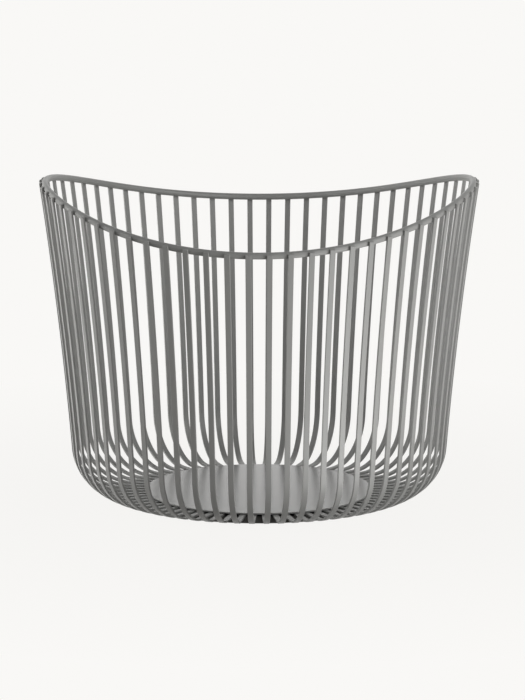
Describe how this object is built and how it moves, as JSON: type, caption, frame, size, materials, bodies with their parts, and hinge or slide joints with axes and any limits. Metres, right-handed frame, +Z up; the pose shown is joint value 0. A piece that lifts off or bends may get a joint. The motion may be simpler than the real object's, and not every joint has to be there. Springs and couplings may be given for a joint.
{
  "type": "storage basket",
  "caption": "Open round storage basket of upright flat steel strips, with a saddle-shaped wire rim and a flat base disc.",
  "frame": {"origin": "on the floor, below the middle of the base disc", "axes": "+Z up; +X towards a high point of the rim; +Y towards a low point of the rim"},
  "size_m": [0.4004, 0.389, 0.2924],
  "materials": {
    "strip_coat": "satin grey powder coat",
    "rim_coat": "satin grey powder coat",
    "disc_coat": "satin grey powder coat with a faint drawn grain"
  },
  "bodies": {
    "root": {"strip_pair_01": "strip_coat", "strip_pair_02": "strip_coat", "strip_pair_03": "strip_coat", "strip_pair_04": "strip_coat", "strip_pair_05": "strip_coat", "strip_pair_06": "strip_coat", "strip_pair_07": "strip_coat", "strip_pair_08": "strip_coat", "strip_pair_09": "strip_coat", "strip_pair_10": "strip_coat", "strip_pair_11": "strip_coat", "strip_pair_12": "strip_coat", "strip_pair_13": "strip_coat", "strip_pair_14": "strip_coat", "strip_pair_15": "strip_coat", "strip_pair_16": "strip_coat", "strip_pair_17": "strip_coat", "strip_pair_18": "strip_coat", "strip_pair_19": "strip_coat", "strip_pair_20": "strip_coat", "strip_pair_21": "strip_coat", "strip_pair_22": "strip_coat", "strip_pair_23": "strip_coat", "strip_pair_24": "strip_coat", "strip_pair_25": "strip_coat", "strip_pair_26": "strip_coat", "strip_pair_27": "strip_coat", "strip_pair_28": "strip_coat", "strip_pair_29": "strip_coat", "strip_pair_30": "strip_coat", "strip_pair_31": "strip_coat", "strip_pair_32": "strip_coat", "strip_pair_33": "strip_coat", "rim_wire": "rim_coat", "base_disc": "disc_coat"}
  },
  "joints": []
}
